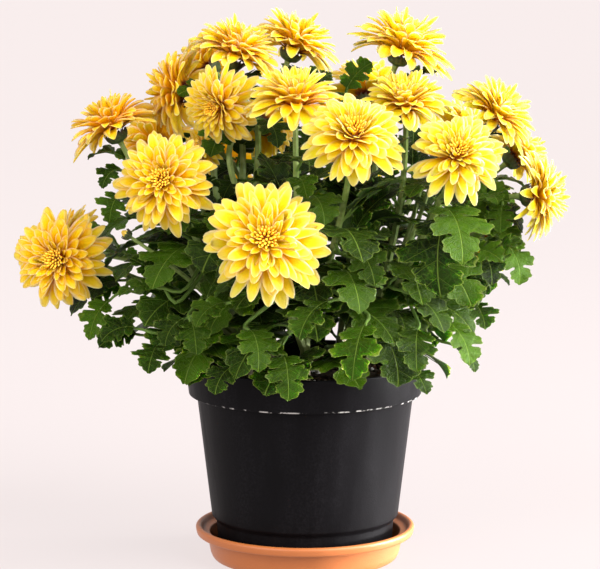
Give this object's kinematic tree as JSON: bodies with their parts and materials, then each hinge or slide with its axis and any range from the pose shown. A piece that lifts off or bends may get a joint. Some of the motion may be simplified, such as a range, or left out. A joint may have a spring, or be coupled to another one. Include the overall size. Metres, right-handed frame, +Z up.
{
  "type": "pot chrysanthemum",
  "caption": "Yellow pot chrysanthemum in full bloom, its dark lobed leaves hanging over a black nursery pot that stands on a terracotta-coloured plastic saucer.",
  "frame": {"origin": "centre of the saucer's flat underside", "axes": "+Z up, -Y towards the viewer of the picture, +X to the picture's right"},
  "size_m": [0.3502, 0.3165, 0.3574],
  "materials": {
    "terracotta_plastic": "satin moulded plastic, terracotta orange",
    "black_plastic": "satin moulded plastic, slightly scuffed",
    "potting_mix": "rough, moist peat and bark",
    "foliage": "living leaf and stem, soft sheen",
    "petals": "living petal, matt velvet"
  },
  "bodies": {
    "root": {"saucer": "terracotta_plastic", "pot": "black_plastic", "soil": "potting_mix", "plant_1": "foliage", "plant_2": "foliage", "plant_3": "foliage", "plant_4": "foliage", "plant_5": "foliage", "bloom_01": "petals", "bloom_02": "petals", "bloom_03": "petals", "bloom_04": "petals", "bloom_05": "petals", "bloom_06": "petals", "bloom_07": "petals", "bloom_08": "petals", "bloom_09": "petals", "bloom_10": "petals", "bloom_11": "petals", "bloom_12": "petals", "bloom_13": "petals", "bloom_14": "petals", "bloom_15": "petals", "bloom_16": "petals", "bloom_17": "petals", "bloom_18": "petals", "bloom_19": "petals", "bloom_20": "petals", "bloom_21": "petals", "bloom_22": "petals", "bloom_23": "petals", "bloom_24": "petals", "bloom_25": "petals", "bloom_26": "petals"}
  },
  "joints": []
}
